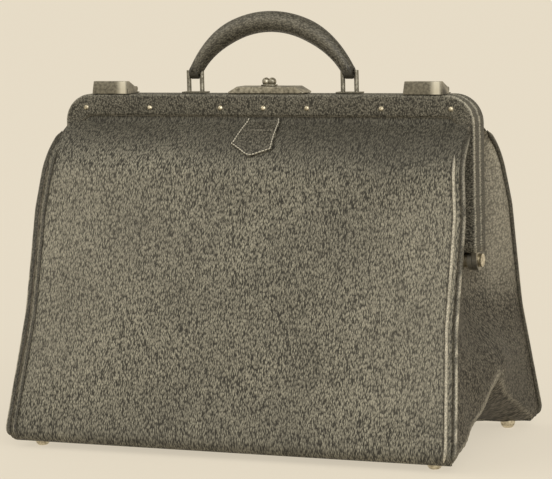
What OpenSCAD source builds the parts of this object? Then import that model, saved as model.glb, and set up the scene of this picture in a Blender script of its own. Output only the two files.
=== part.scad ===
// Framed leather travelling bag: a one-piece body hide with tucked gussets, hung from a hinged
// steel frame of two jaws, with a top lock, two side catches and a rolled handle.

/* [Overall] */
// Length of the closed frame
frame_len = 406; // [390:1:430]
// Height of the frame's top above the floor
frame_top = 318; // [310:1:330]
// Length of the body over its bottom corners, without the welts
base_len = 432; // [420:1:460]
// Depth of the base, front to back
base_depth = 242; // [230:1:255]
// Height of the two pivots that join the jaws
pivot_z = 170; // [165:1:175]
// How far each jaw swings open
open_deg = 38; // [20:1:38]

/* [Leather] */
// Thickness of the body leather
hide = 2.4; // [1.6:0.1:2.8]
// Thickness of the leather that covers the frame
cover = 1.6; // [1.2:0.1:1.8]
// Clearance between pieces that are sewn or laid together
seam_gap = 0.2; // [0.1:0.05:0.3]
// Radius of the welt cord in the end seams
welt_r = 2.2; // [1.6:0.1:2.6]
// Half depth of the body where the shoulder turns into the wall
shoulder_half = 57; // [53:1:60]
// Height at which the shoulder turns into the wall
shoulder_z = 246; // [240:1:252]
// Half depth that the wall leans towards below the pivots
lean_half = 83; // [79:1:88]
// How far the body's ends stand out past the ends of the frame
body_bulge = 4; // [2:0.5:6]
// How far the gusset lies in from the frame's ends, behind the arms
gusset_set = 17.5; // [17:0.5:20]

/* [Gusset tuck] */
// How far the gusset folds in at the floor
tuck_depth = 60; // [40:1:70]
// Height of the fold's tip above the bottom
tuck_h = 64; // [50:1:75]
// Half width of the fold's inner edge at the bottom
tuck_flat = 40; // [25:1:50]

/* [Frame] */
// Height of a jaw's bar
bar_h = 20; // [18:1:22]
// Width of a jaw's arm
arm_w = 16; // [15:1:18]
// Outer corner radius of the frame
corner_r = 26; // [22:1:32]
// Depth of one jaw, front to back
jaw_depth = 12.4; // [12:0.1:13]
// Gap between the closed jaws
jaw_gap = 2.6; // [2.2:0.1:3]
// Thickness of the steel channel
steel = 1.2; // [1:0.1:1.4]
// Clearance between the steel and its leather cover
cover_fit = 0.1; // [0.05:0.05:0.15]
// Shank radius of the frame rivets
rivet_r = 1; // [0.8:0.1:1.2]
// Head radius of the frame rivets
rivet_head = 2.4; // [2:0.1:3]

/* [Pivots] */
// Radius of the pivot rivets
pivot_r = 2.5; // [2:0.1:3]
// Radius of the eye at the end of each arm
eye_r = 9; // [8:0.5:10]
// Running clearance of every pin
play = 0.06; // [0.04:0.01:0.08]

/* [Handle] */
// Distance between the handle's two loops
handle_span = 154; // [140:1:165]
// Height of the loop bars above the frame
loop_h = 19; // [18:1:22]
// Rise of the grip's centre line above the loop bars
grip_rise = 47; // [42:1:55]
// Grip radius at the middle
grip_mid_r = 9.2; // [7:0.1:10]
// Grip radius at its ends
grip_end_r = 6; // [5:0.1:6.5]
// Radius of a loop's bar
loop_bar_r = 1.9; // [1.6:0.1:2.1]

/* [Lock] */
// Length of the lock case
lock_len = 75; // [65:1:85]
// Depth of the lock case
lock_depth = 20; // [18:1:22]
// Height of the lock case
lock_h = 6.5; // [6:0.1:8]
// Travel of the lock's thumb slide
lock_travel = 7; // [5:0.5:8]

/* [Catches] */
// Distance of each side catch from the middle
catch_x = 155; // [145:1:160]
// Width of a catch flap
catch_w = 38; // [36:1:42]
// Height of a catch flap above the frame
catch_h = 12; // [11:0.5:14]
// Radius of a catch's hinge pin
catch_pin_r = 1.4; // [1.2:0.1:1.6]

/* [Feet and board] */
// Height of the foot studs
stud_h = 8; // [6:0.5:10]
// Radius of the foot studs
stud_r = 7; // [5:0.5:7.5]
// Thickness of the base board
board_t = 2.5; // [2:0.1:4]

/* [Hidden] */
$fn = 48;

leather = "#46443c";
leather_light = "#5a574d";
brass = "#c9bd98";
steel_grey = "#8d8b84";
board_brown = "#7d6a4c";
overlap = 1; // how far a cutting shape runs past what it cuts

frame_half = frame_len / 2;
bar_bottom = frame_top - bar_h;
jaw_in = jaw_gap / 2;
jaw_out = jaw_in + jaw_depth;
jaw_mid = (jaw_in + jaw_out) / 2;
steel_out = jaw_out - cover - cover_fit;
steel_in = jaw_in + cover + cover_fit;
arm_end = pivot_z + eye_r + 7;
body_gap = 0.4; // clearance between leather on different bodies

// Body shape, seen from the end: the front half as curves of three points each, [y, z]
base_half = base_depth / 2;
neck_y = steel_out - steel - body_gap;
neck_top = [-neck_y, frame_top - 7];
neck_end = [-neck_y, bar_bottom - 0.5];
shoulder_start = [-(jaw_out + 2.3), bar_bottom - 8];
wall_top = [-shoulder_half, shoulder_z];
lean_z = pivot_z - 30;
wall_lean = [-lean_half, lean_z];
wall_end = [-(base_half - 1), stud_h + 12];
shoulder_pull = wall_top - 0.24 * (wall_lean - wall_top);
neck_pull = shoulder_start + (shoulder_start - shoulder_pull)
    * (neck_y + shoulder_start[0]) / (shoulder_pull[0] - shoulder_start[0]);
corner = wall_end + (wall_end - wall_lean) * (wall_end[1] - stud_h) / (wall_lean[1] - wall_end[1]);
bottom_start = [corner[0] + 15, stud_h];
SKIN = [
    [neck_top, (neck_top + neck_end) / 2, neck_end],
    [neck_end, neck_pull, shoulder_start],
    [shoulder_start, shoulder_pull, wall_top],
    [wall_top, wall_lean, wall_end],
    [wall_end, corner, bottom_start]];
SKIN_SHOULDER = 2; // where the shoulder starts along the skin
SKIN_WALL = 3;
SKIN_END = 5;
skin_step = 0.1;
// The panels part here into the body and the shoulders that swing with the jaws
swing_r = 78;
swing_gap = 0.15;
// Lowest part of a closed shoulder, as an angle from upright: an open one stops just past the pivots' level
swing_low = 90 - open_deg + 3.5;

// Half length of the body at a height: drawn in at the shoulders, upright, and flaring at the bottom
full_half = frame_half + body_bulge;
drawn_half = frame_half - 4;
full_z = pivot_z + 45;
flare_z = pivot_z - 50;
function half_len(z) = z > full_z
    ? full_half - (full_half - drawn_half) * (z - full_z) / (shoulder_start[1] - full_z)
    : full_half + (base_len / 2 - full_half) * max(0, (flare_z - z) / (flare_z - stud_h));

function curve_point(c, t) = (1 - t) * (1 - t) * c[0] + 2 * t * (1 - t) * c[1] + t * t * c[2];
function curve_way(c, t) = (1 - t) * (c[1] - c[0]) + t * (c[2] - c[1]);
function unit(v) = v / norm(v);
function turn_in(v) = unit([-v[1], v[0]]);
// Point of the front half's skin at s, moved in by d
function skin_on(k, t, d) = curve_point(SKIN[k], t) + d * turn_in(curve_way(SKIN[k], t));
function skin(s, d) = skin_on(min(floor(s), len(SKIN) - 1), s - min(floor(s), len(SKIN) - 1), d);

// How far the gusset is folded in at a place on the end
tuck_half = base_half - 4;
tuck_slope = tuck_depth / (tuck_half - tuck_flat);
function tuck_left(z) = max(0, 1 - (z - stud_h) / tuck_h);
function tuck_side(y, z) = (tuck_half * tuck_left(z) - abs(y)) * tuck_slope;
function tuck(y, z) = max(0, min(tuck_depth * tuck_left(z), tuck_side(y, z)));

// Outer face of the gusset: level with the body at the bottom, inside the arms from the pivots up
recess_low = pivot_z - 90;
recess_high = lean_z;
gusset_recess = body_bulge + gusset_set;
function ramp(a, b, v) = max(0, min(1, (v - a) / (b - a)));
function gusset_face(y, z) = half_len(z) - gusset_recess * ramp(recess_low, recess_high, z) - tuck(y, z);

// Solid sheet between two grids of points, rows going down and columns going across
module sheet(outer, inner) {
    rows = len(outer);
    cols = len(outer[0]);
    n = rows * cols;
    points = concat([for (r = outer) each r], [for (r = inner) each r]);
    function at(i, j) = i * cols + j;
    skins = [for (i = [0 : rows - 2]) for (j = [0 : cols - 2]) each [
        [at(i, j), at(i, j + 1), at(i + 1, j + 1)],
        [at(i, j), at(i + 1, j + 1), at(i + 1, j)],
        [n + at(i, j), n + at(i + 1, j + 1), n + at(i, j + 1)],
        [n + at(i, j), n + at(i + 1, j), n + at(i + 1, j + 1)]]];
    rim = concat(
        [for (j = [0 : cols - 1]) at(0, j)],
        [for (i = [1 : rows - 1]) at(i, cols - 1)],
        [for (j = [cols - 2 : -1 : 0]) at(rows - 1, j)],
        [for (i = [rows - 2 : -1 : 1]) at(i, 0)]);
    sides = [for (k = [0 : len(rim) - 1]) each [
        [rim[k], n + rim[k], n + rim[(k + 1) % len(rim)]],
        [rim[k], n + rim[(k + 1) % len(rim)], rim[(k + 1) % len(rim)]]]];
    polyhedron(points, concat(skins, sides), convexity = 8);
}

// Row of a panel that is straight across: two points
function across(x, p) = [[-x, p[0], p[1]], [x, p[0], p[1]]];
// Tube along a path that stays close to one plane across the bag
function ring(p, way, r, sides) = [for (i = [0 : sides - 1])
    p + r * (cos(360 * i / sides) * [1, 0, 0] + sin(360 * i / sides) * unit(cross(way, [1, 0, 0])))];
module tube(path, r, sides = 8) {
    last = len(path) - 1;
    points = [for (k = [0 : last])
        each ring(path[k], path[min(k + 1, last)] - path[max(k - 1, 0)], r, sides)];
    walls = [for (k = [0 : last - 1]) for (i = [0 : sides - 1]) each [
        [k * sides + i, k * sides + (i + 1) % sides, (k + 1) * sides + (i + 1) % sides],
        [k * sides + i, (k + 1) * sides + (i + 1) % sides, (k + 1) * sides + i]]];
    first_cap = [[for (i = [sides - 1 : -1 : 0]) i]];
    last_cap = [[for (i = [0 : sides - 1]) last * sides + i]];
    polyhedron(points, concat(walls, first_cap, last_cap), convexity = 6);
}

// Outlines drawn in [x, z] and pushed along Y, or drawn in [y, z] and pushed along X
module along_y(y0, y1) { translate([0, y1, 0]) rotate([90, 0, 0]) linear_extrude(y1 - y0) children(); }
module along_x(x0, x1) { translate([x0, 0, 0]) rotate([90, 0, 90]) linear_extrude(x1 - x0) children(); }
module rod_x(x0, x1, y, z, r) { translate([x0, y, z]) rotate([0, 90, 0]) cylinder(r = r, h = x1 - x0); }
module box(x, y, z) {
    translate([x[0], y[0], z[0]]) cube([x[1] - x[0], y[1] - y[0], z[1] - z[0]]);
}
module at_rear() { mirror([0, 1, 0]) children(); }
module on_side(side) { if (side < 0) mirror([1, 0, 0]) children(); else children(); }

// Keeps what swings with a jaw, or what stays with the body, on each side of the parting drum
module drum(r) { rod_x(-base_len, base_len, 0, pivot_z, r); }
module above_drum() {
    difference() {
        children();
        drum(swing_r + swing_gap);
        along_x(-base_len, base_len) polygon([[0, pivot_z], [0, 0], [-base_depth, 0],
            [-base_depth, pivot_z + base_depth / tan(swing_low)]]);
    }
}
module below_drum() {
    difference() {
        children();
        difference() {
            box([-base_len, base_len], [-base_depth, base_depth], [pivot_z, frame_top]);
            drum(swing_r - swing_gap);
        }
    }
}

// Body: the one hide that makes the lower front, the bottom and the lower back
body_start = SKIN_WALL + 0.02;
body_rows = [for (s = [body_start : skin_step : SKIN_END]) s];
function flat_row(y, d) = [y, stud_h + d];
function half_body(d) = concat(
    [for (s = body_rows) skin(s, d)],
    [skin(SKIN_END, d), flat_row(-tuck_flat, d)]);
function flip_y(p) = [-p[0], p[1]];
function back_list(v) = [for (i = [len(v) - 1 : -1 : 0]) v[i]];
function whole_body(d) = concat(half_body(d), [for (p = back_list(half_body(d))) flip_y(p)]);
module body_hide() {
    outer = whole_body(0);
    inner = whole_body(hide);
    reach = [for (p = outer) half_len(p[1]) - tuck(p[0], p[1])];
    color(leather) below_drum() sheet(
        [for (i = [0 : len(outer) - 1]) across(reach[i], outer[i])],
        [for (i = [0 : len(outer) - 1]) across(reach[i], inner[i])]);
}

// Gusset: one sheet at each end, folded in at the floor and set in behind the frame's arms
gusset_rows = [for (s = [SKIN_SHOULDER + 0.05 : skin_step : SKIN_END - 0.1]) s];
fold_min = 6; // the fold lines' spacing where the fold has run out
function gusset_columns(y, z) =
    let (w = max(fold_min, tuck_half * tuck_left(z)), c = max(fold_min / 2, tuck_flat * tuck_left(z)))
    let (edge = max(y, w + 1))
    [-edge, -w, -c, 0, c, w, edge];
function gusset_row(s, d) =
    let (p = skin(s, hide + body_gap))
    [for (y = gusset_columns(-p[0], p[1])) [gusset_face(y, p[1]) - d, y, p[1]]];
module gusset(side) {
    color(leather_light) on_side(side) sheet(
        [for (s = gusset_rows) gusset_row(s, 0)],
        [for (s = gusset_rows) gusset_row(s, hide)]);
}

// Welts: the cord sewn into each end seam, on the body and on each shoulder
welt_in = hide - 0.3; // the cord's depth behind the panel's face
function welt_path(s0, s1) = [for (i = [0 : 14])
    let (p = skin(s0 + (s1 - s0) * i / 14, welt_in))
    [half_len(p[1]) + welt_r + seam_gap, p[0], p[1]]];
module body_welt(side) {
    color(leather_light) on_side(side) below_drum() tube(welt_path(body_start, SKIN_END - 0.6), welt_r);
}
module shoulder_welt(side) {
    color(leather_light) on_side(side)
        above_drum() tube(welt_path(SKIN_SHOULDER + 0.02, SKIN_WALL + 0.2), welt_r);
}

// Shoulder: the upper part of a panel, nailed into the jaw's channel at its top edge
shoulder_rows = [for (s = [0 : skin_step : SKIN_WALL + 0.25]) s];
neck_half = frame_half - arm_w - 2;
function shoulder_reach(s) = s < SKIN_SHOULDER - 0.05 ? neck_half : half_len(skin(s, 0)[1]);
module shoulder() {
    color(leather) above_drum() sheet(
        [for (s = shoulder_rows) across(shoulder_reach(s), skin(s, 0))],
        [for (s = shoulder_rows) across(shoulder_reach(s), skin(s, hide))]);
}

// Wing: the end leather between the shoulder's seam and the jaw's arm
wing_rows = [for (s = [SKIN_SHOULDER + 0.12 : skin_step : SKIN_WALL + 0.2]) s];
wing_y = -(jaw_out + seam_gap);
wing_x = frame_half - arm_w + 3;
wing_mid = 0.4; // where the wing turns from the seam towards the arm
function wing_row(s, d) =
    let (p = skin(s, hide + seam_gap), x = half_len(p[1]))
    let (mid_x = x + (wing_x - x) * (1 - wing_mid), mid_y = p[0] + (wing_y - p[0]) * wing_mid)
    [[x - d, p[0], p[1]], [mid_x - d, mid_y, p[1]], [wing_x - d, wing_y, p[1]]];
module wing(side) {
    color(leather_light) on_side(side) above_drum() sheet(
        [for (s = wing_rows) wing_row(s, 0)],
        [for (s = wing_rows) wing_row(s, hide)]);
}

// Stitched tab that hangs on the front shoulder below the lock
tab_t = 1.6;
tab_half = 16;
tab_wide = 20;
tab_rows = 12;
tab_start = SKIN_SHOULDER + 0.02;
tab_end = SKIN_WALL - 0.38;
tab_turn = 0.64; // where the sides turn in to the point
tab_tip = 2;
function tab_reach(u) = u < tab_turn ? tab_half + (tab_wide - tab_half) * u / tab_turn
    : tab_wide + (tab_tip - tab_wide) * (u - tab_turn) / (1 - tab_turn);
module lock_tab() {
    rows = [for (i = [0 : tab_rows]) i / tab_rows];
    function along(u) = tab_start + (tab_end - tab_start) * u;
    color(leather_light) sheet(
        [for (u = rows) across(tab_reach(u), skin(along(u), -tab_t - seam_gap))],
        [for (u = rows) across(tab_reach(u), skin(along(u), -seam_gap))]);
}

// Jaw: a steel channel bent to a U, its leather cover and its rivets
ARC_STEPS = 10;
function arc(c, r, a0, a1) = [
    for (i = [0 : ARC_STEPS])
        let (a = a0 + (a1 - a0) * i / ARC_STEPS)
        c + r * [cos(a), sin(a)]];
function u_side(half, top, r, low) = concat([[-half, low]], arc([r - half, top - r], r, 180, 90),
    arc([half - r, top - r], r, 90, 0), [[half, low]]);
module u_outline(inset, grow) {
    low = arm_end - grow;
    inner_r = corner_r - arm_w + 2;
    polygon(concat(u_side(frame_half - inset, frame_top - inset, corner_r - inset, low),
        back_list(u_side(frame_half - arm_w - grow, bar_bottom - grow, inner_r, low))));
}
module channel(y0, y1, inset, wall) {
    difference() {
        along_y(y0, y1) u_outline(inset, 0);
        along_y(y0 + wall, y1 - wall) u_outline(inset + wall, overlap);
    }
}
rivet_xs = [-181, -115, -43, 0, 43, 115, 181] * frame_len / 406;
rivet_z = frame_top - 12.5;
module at_rivets() {
    for (x = rivet_xs)
        translate([x, -jaw_out, rivet_z]) rotate([90, 0, 0]) children();
}
module rivet_holes() {
    depth = cover + steel;
    at_rivets() translate([0, 0, -depth - overlap]) cylinder(r = rivet_r, h = depth + 2 * overlap);
}
rivet_dome = 1.3;
module frame_rivets() {
    ball = (rivet_head * rivet_head + rivet_dome * rivet_dome) / (2 * rivet_dome);
    color(brass) at_rivets() {
        translate([0, 0, -cover - steel]) cylinder(r = rivet_r - 0.03, h = cover + steel + rivet_dome / 2);
        intersection() {
            translate([0, 0, rivet_dome - ball]) sphere(ball);
            cylinder(r = rivet_head + overlap, h = rivet_dome + overlap);
        }
    }
}
module jaw_cover() {
    difference() {
        channel(-jaw_out, -jaw_in, 0, cover);
        rivet_holes();
    }
}
// The eye at each arm's end reaches the pivot line, one jaw's outside the other's
eye_t = 4.4;
eye_split = frame_half - cover - cover_fit - eye_t - 0.2;
front_eye = [eye_split + 0.2, eye_split + 0.2 + eye_t];
rear_eye = [eye_split - 0.2 - eye_t, eye_split - 0.2];
eye_root = 24; // how far the eye runs up into the arm
module eye(x) {
    difference() {
        union() {
            rod_x(x[0], x[1], 0, pivot_z, eye_r);
            along_x(x[0], x[1]) polygon([[-steel_out + steel / 2, arm_end + eye_root],
                [-steel_in - steel / 2, arm_end + eye_root], [-steel_in - steel / 2, arm_end],
                [eye_r * 0.5, pivot_z + eye_r * 0.8], [-eye_r * 0.9, pivot_z - eye_r * 0.2],
                [-steel_out + steel / 2, arm_end - 2]]);
        }
        rod_x(x[0] - overlap, x[1] + overlap, 0, pivot_z, pivot_r + play);
    }
}
module jaw_steel(eye_x) {
    difference() {
        channel(-steel_out, -steel_in, cover + cover_fit, steel);
        rivet_holes();
    }
    for (side = [-1, 1]) on_side(side) eye(eye_x);
}
module front_frame() { color(steel_grey) jaw_steel(front_eye); }
module front_frame_cover() { color(leather) jaw_cover(); }

// Pivot rivet: seated on the gusset, running through both eyes
pivot_seat = [half_len(pivot_z) - gusset_recess + seam_gap, rear_eye[0] - 0.3];
pivot_head = [front_eye[1] + 0.2, front_eye[1] + 3];
module pivot_rivet(side) {
    color(brass) on_side(side) {
        rod_x(pivot_seat[0], pivot_seat[1], 0, pivot_z, eye_r - 2);
        rod_x(pivot_seat[1] - overlap, pivot_head[1] - overlap, 0, pivot_z, pivot_r);
        rod_x(pivot_head[0], pivot_head[1], 0, pivot_z, eye_r - 3);
    }
}

// Lock: a case on the rear jaw, a thumb slide with its bolt, and a tongue on the front jaw
top_gap = 0.3;
lock_wall = 1.2;
lock_bevel = 9;
lock_y = [2 - lock_depth / 2, 2 + lock_depth / 2];
lock_z = [frame_top + top_gap, frame_top + top_gap + lock_h];
thumb_y = (lock_y[0] + lock_y[1]) / 2;
bolt_y = steel_in + steel + 1.4;
bolt_z = frame_top - 10;
bolt_r = 1.2;
bolt_room = 0.3;
drop_x = [10, 13]; // the leg that carries the bolt down into the rear jaw
drop_y = [bolt_y - 1.2, bolt_y + 1.2];
tongue_z = [bolt_z - 4.5, bolt_z + 4.5];
slot_room = 0.5;
module lock_outline(inset) {
    half = lock_len / 2;
    polygon([[-half + inset, lock_z[0] - inset], [half - inset, lock_z[0] - inset],
        [half - inset, lock_z[0] + 1.5], [half - lock_bevel - inset / 2, lock_z[1] - inset],
        [lock_bevel - half + inset / 2, lock_z[1] - inset], [inset - half, lock_z[0] + 1.5]]);
}
module lock_case() {
    stem_half = 1.6;
    color(brass) difference() {
        along_y(lock_y[0], lock_y[1]) lock_outline(0);
        along_y(lock_y[0] + lock_wall, lock_y[1] - lock_wall) lock_outline(lock_wall);
        box([-lock_travel - stem_half - slot_room, stem_half + slot_room],
            [thumb_y - 2, thumb_y + 2], [lock_z[1] - lock_wall - overlap, lock_z[1] + overlap]);
    }
}
thumb_r = 3.8;
module lock_slide() {
    carriage_z = [lock_z[0] + 0.8, lock_z[0] + 2.8];
    thumb_z = lock_z[1] + 0.3;
    color(brass) {
        box([-6.5, 6.5], [thumb_y - 4, thumb_y + 4], [thumb_z, thumb_z + 1.2]);
        for (x = [-3, 3]) translate([x, thumb_y, thumb_z + thumb_r]) sphere(thumb_r);
        box([-1.6, 1.6], [thumb_y - 1.7, thumb_y + 1.7], [carriage_z[0], thumb_z + overlap]);
        box([-5, drop_x[1]], [thumb_y - 1.7, drop_y[1]], carriage_z);
        box(drop_x, drop_y, [bolt_z - bolt_r, carriage_z[1]]);
        rod_x(3, drop_x[1], bolt_y, bolt_z, bolt_r);
    }
}
module lock_tongue() {
    color(brass) difference() {
        union() {
            box([-8, 8], [-jaw_in + 0.05, -jaw_in + 0.9], [tongue_z[0] - 1, tongue_z[1] + 1]);
            box([-1, 1], [-jaw_in + 0.5, bolt_y + bolt_r + bolt_room + 0.8], tongue_z);
        }
        rod_x(-overlap - 1, overlap + 1, bolt_y, bolt_z, bolt_r + bolt_room);
    }
}
// Openings in the rear jaw for the tongue and for the bolt's leg
module lock_slots() {
    box([-1.6, 1.6], [0, steel_in + steel + 0.3], [tongue_z[0] - 1, tongue_z[1] + 1]);
    box([drop_x[0] - lock_travel - slot_room, drop_x[1] + slot_room],
        [drop_y[0] - slot_room / 2, drop_y[1] + slot_room / 2], [frame_top - 6, frame_top + overlap]);
}
module rear_frame() {
    color(steel_grey) difference() {
        at_rear() jaw_steel(rear_eye);
        lock_slots();
    }
}
module rear_frame_cover() {
    color(leather) difference() {
        at_rear() jaw_cover();
        lock_slots();
    }
}

// Handle: a rolled grip with a leather eye at each end, swinging in two metal loops
loop_y = jaw_mid;
loop_z = frame_top + loop_h;
loop_room = 9; // clear width inside a loop
post_r = 2.1;
plate_t = 1.4;
module handle_loop(side) {
    post_x = loop_room / 2 + post_r;
    color(brass) translate([side * handle_span / 2, loop_y, 0]) {
        box([-12, 12], [-5, 5], [frame_top + 0.05, frame_top + plate_t]);
        for (x = [-post_x, post_x]) translate([x, 0, frame_top + plate_t / 2])
            cylinder(r = post_r, h = loop_h - plate_t / 2 + post_r);
        rod_x(-post_x, post_x, 0, loop_z, loop_bar_r);
    }
}
tab_eye_r = 6;
grip_seat = 1.6; // from the eye to the middle of the grip's end
arc_r = (handle_span * handle_span / 4 + grip_rise * grip_rise) / (2 * grip_rise);
arc_z = loop_z + grip_rise - arc_r;
grip_deg = asin(handle_span / 2 / arc_r) - (tab_eye_r + grip_seat) / arc_r * 180 / PI;
grip_rings = 24;
grip_sides = 16;
function grip_r(a) = grip_end_r + (grip_mid_r - grip_end_r) * (1 - a * a / grip_deg / grip_deg);
function grip_ring(a) = [for (i = [0 : grip_sides - 1])
    let (q = 360 * i / grip_sides, r = arc_r + grip_r(a) * cos(q))
    [r * sin(a), loop_y + grip_r(a) * sin(q), arc_z + r * cos(a)]];
module handle_grip() {
    points = [for (k = [0 : grip_rings]) each grip_ring(grip_deg * (2 * k / grip_rings - 1))];
    n = grip_sides;
    walls = [for (k = [0 : grip_rings - 1]) for (i = [0 : n - 1]) each [
        [k * n + i, k * n + (i + 1) % n, (k + 1) * n + (i + 1) % n],
        [k * n + i, (k + 1) * n + (i + 1) % n, (k + 1) * n + i]]];
    ends = [[for (i = [n - 1 : -1 : 0]) i], [for (i = [0 : n - 1]) grip_rings * n + i]];
    color(leather) polyhedron(points, concat(walls, ends), convexity = 4);
}
module handle_tab(side) {
    half = loop_room / 2 - 0.2;
    color(leather_light) translate([side * handle_span / 2, 0, 0]) difference() {
        rod_x(-half, half, loop_y, loop_z, tab_eye_r);
        rod_x(-half - overlap, half + overlap, loop_y, loop_z, loop_bar_r + play);
    }
}

// Side catches: a hinge on the rear jaw and a hollow flap that closes over both jaws
catch_base_t = 1;
knuckle_r = 2.4;
catch_hinge = [jaw_mid + 2, frame_top + catch_base_t + knuckle_r + 0.3];
flap_knuckle = 10;
base_knuckle = [flap_knuckle + 0.4, catch_w / 2 - 3];
flap_wall = 1.2;
flap_lift = 0.4; // the flap's edge above the closed jaws
flap_y = [-jaw_out - 0.2, catch_hinge[0] - 6.5];
flap_low = frame_top + flap_lift;
flap_back = catch_hinge[1] + knuckle_r - 0.2;
module flap_profile(inset) {
    polygon([[flap_y[0] + inset, flap_low - inset], [flap_y[0] + inset, frame_top + catch_h - inset],
        [flap_y[0] + 5, frame_top + catch_h - inset], [flap_y[1] - inset, flap_back - inset],
        [flap_y[1] - inset, flap_low - inset]]);
}
module flap_face(inset) {
    low = catch_w / 2 - inset;
    high = low - 2;
    polygon([[-low, flap_low - inset - overlap], [low, flap_low - inset - overlap], [low, flap_low],
        [high, frame_top + catch_h + overlap], [-high, frame_top + catch_h + overlap], [-low, flap_low]]);
}
module flap_block(inset) {
    intersection() {
        along_x(-catch_w, catch_w) flap_profile(inset);
        along_y(-base_depth, base_depth) flap_face(inset);
    }
}
module catch_flap(side) {
    color(brass) translate([side * catch_x, 0, 0]) difference() {
        union() {
            difference() {
                flap_block(0);
                flap_block(flap_wall);
            }
            box([-flap_knuckle, flap_knuckle], [flap_y[1] - flap_wall, catch_hinge[0]],
                [flap_back - flap_wall, flap_back]);
            rod_x(-flap_knuckle, flap_knuckle, catch_hinge[0], catch_hinge[1], knuckle_r);
        }
        rod_x(-catch_w, catch_w, catch_hinge[0], catch_hinge[1], catch_pin_r + play);
    }
}
module catch_base(side) {
    color(brass) translate([side * catch_x, 0, 0]) {
        box([-catch_w / 2 + 2, catch_w / 2 - 2], [catch_hinge[0] - 4, jaw_out - 0.6],
            [frame_top + 0.05, frame_top + catch_base_t]);
        for (s = [-1, 1]) on_side(s) {
            rod_x(base_knuckle[0], base_knuckle[1], catch_hinge[0], catch_hinge[1], knuckle_r);
            box(base_knuckle, [catch_hinge[0] - 1.5, catch_hinge[0] + 1.5],
                [frame_top + catch_base_t / 2, catch_hinge[1]]);
        }
        rod_x(-base_knuckle[1], base_knuckle[1], catch_hinge[0], catch_hinge[1], catch_pin_r);
    }
}

// Base: a stiff board inside the bottom, and four studs to stand on
stud_x = base_len / 2 - 24;
stud_y = base_half - 21;
stud_flat = 3;
module foot_studs() {
    stud_top = stud_h - 0.05;
    dome_h = stud_h - 1.5;
    dome = [for (a = [0 : 15 : 90]) [stud_flat + (stud_r - stud_flat) * sin(a), dome_h * (1 - cos(a))]];
    color(brass) for (x = [-stud_x, stud_x]) for (y = [-stud_y, stud_y])
        translate([x, y, 0]) rotate_extrude()
            polygon(concat([[0, 0]], dome, [[stud_r, stud_top], [0, stud_top]]));
}
board_half = half_len(stud_h) - tuck_depth - hide - 6;
module base_board() {
    color(board_brown) box([-board_half, board_half], [bottom_start[0] + 4, -bottom_start[0] - 4],
        [stud_h + hide + seam_gap, stud_h + hide + seam_gap + board_t]);
}

body_hide();
gusset(-1);  // left_gusset
gusset(1);  // right_gusset
base_board();
foot_studs();
body_welt(-1);  // front_left_welt
body_welt(1);  // front_right_welt
at_rear() body_welt(-1);  // rear_left_welt
at_rear() body_welt(1);  // rear_right_welt
pivot_rivet(-1);  // left_pivot_rivet
pivot_rivet(1);  // right_pivot_rivet
front_frame();
front_frame_cover();
frame_rivets();  // front_frame_rivets
shoulder();  // front_shoulder
wing(-1);  // front_left_wing
wing(1);  // front_right_wing
shoulder_welt(-1);  // front_left_shoulder_welt
shoulder_welt(1);  // front_right_shoulder_welt
lock_tab();
lock_tongue();
rear_frame();
rear_frame_cover();
at_rear() frame_rivets();  // rear_frame_rivets
at_rear() shoulder();  // rear_shoulder
at_rear() wing(-1);  // rear_left_wing
at_rear() wing(1);  // rear_right_wing
at_rear() shoulder_welt(-1);  // rear_left_shoulder_welt
at_rear() shoulder_welt(1);  // rear_right_shoulder_welt
lock_case();
handle_loop(-1);  // left_handle_loop
handle_loop(1);  // right_handle_loop
catch_base(-1);  // left_catch_base
catch_base(1);  // right_catch_base
handle_grip();
handle_tab(-1);  // left_handle_tab
handle_tab(1);  // right_handle_tab
lock_slide();
catch_flap(-1);  // left_catch_flap
catch_flap(1);  // right_catch_flap
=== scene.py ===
import math

import bmesh
import bpy
from mathutils import Matrix, Vector, noise


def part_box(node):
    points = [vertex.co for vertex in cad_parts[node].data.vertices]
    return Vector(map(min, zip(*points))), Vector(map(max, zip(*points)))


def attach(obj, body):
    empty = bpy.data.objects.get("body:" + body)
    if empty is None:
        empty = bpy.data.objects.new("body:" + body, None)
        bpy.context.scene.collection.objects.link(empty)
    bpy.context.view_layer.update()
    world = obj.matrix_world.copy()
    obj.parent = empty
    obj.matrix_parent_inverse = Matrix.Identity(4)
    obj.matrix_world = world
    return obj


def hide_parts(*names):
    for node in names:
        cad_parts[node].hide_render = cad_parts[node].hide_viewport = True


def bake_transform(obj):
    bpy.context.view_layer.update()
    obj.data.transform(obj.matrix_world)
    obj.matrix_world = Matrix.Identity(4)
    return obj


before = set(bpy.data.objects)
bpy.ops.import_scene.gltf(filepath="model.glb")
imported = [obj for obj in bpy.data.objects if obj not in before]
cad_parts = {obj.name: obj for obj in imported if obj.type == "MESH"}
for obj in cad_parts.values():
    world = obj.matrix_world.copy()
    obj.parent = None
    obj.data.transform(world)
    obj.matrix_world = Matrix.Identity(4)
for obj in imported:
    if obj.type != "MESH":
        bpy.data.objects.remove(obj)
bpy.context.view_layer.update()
scene = bpy.context.scene
scene.view_settings.view_transform = "Standard"


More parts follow.
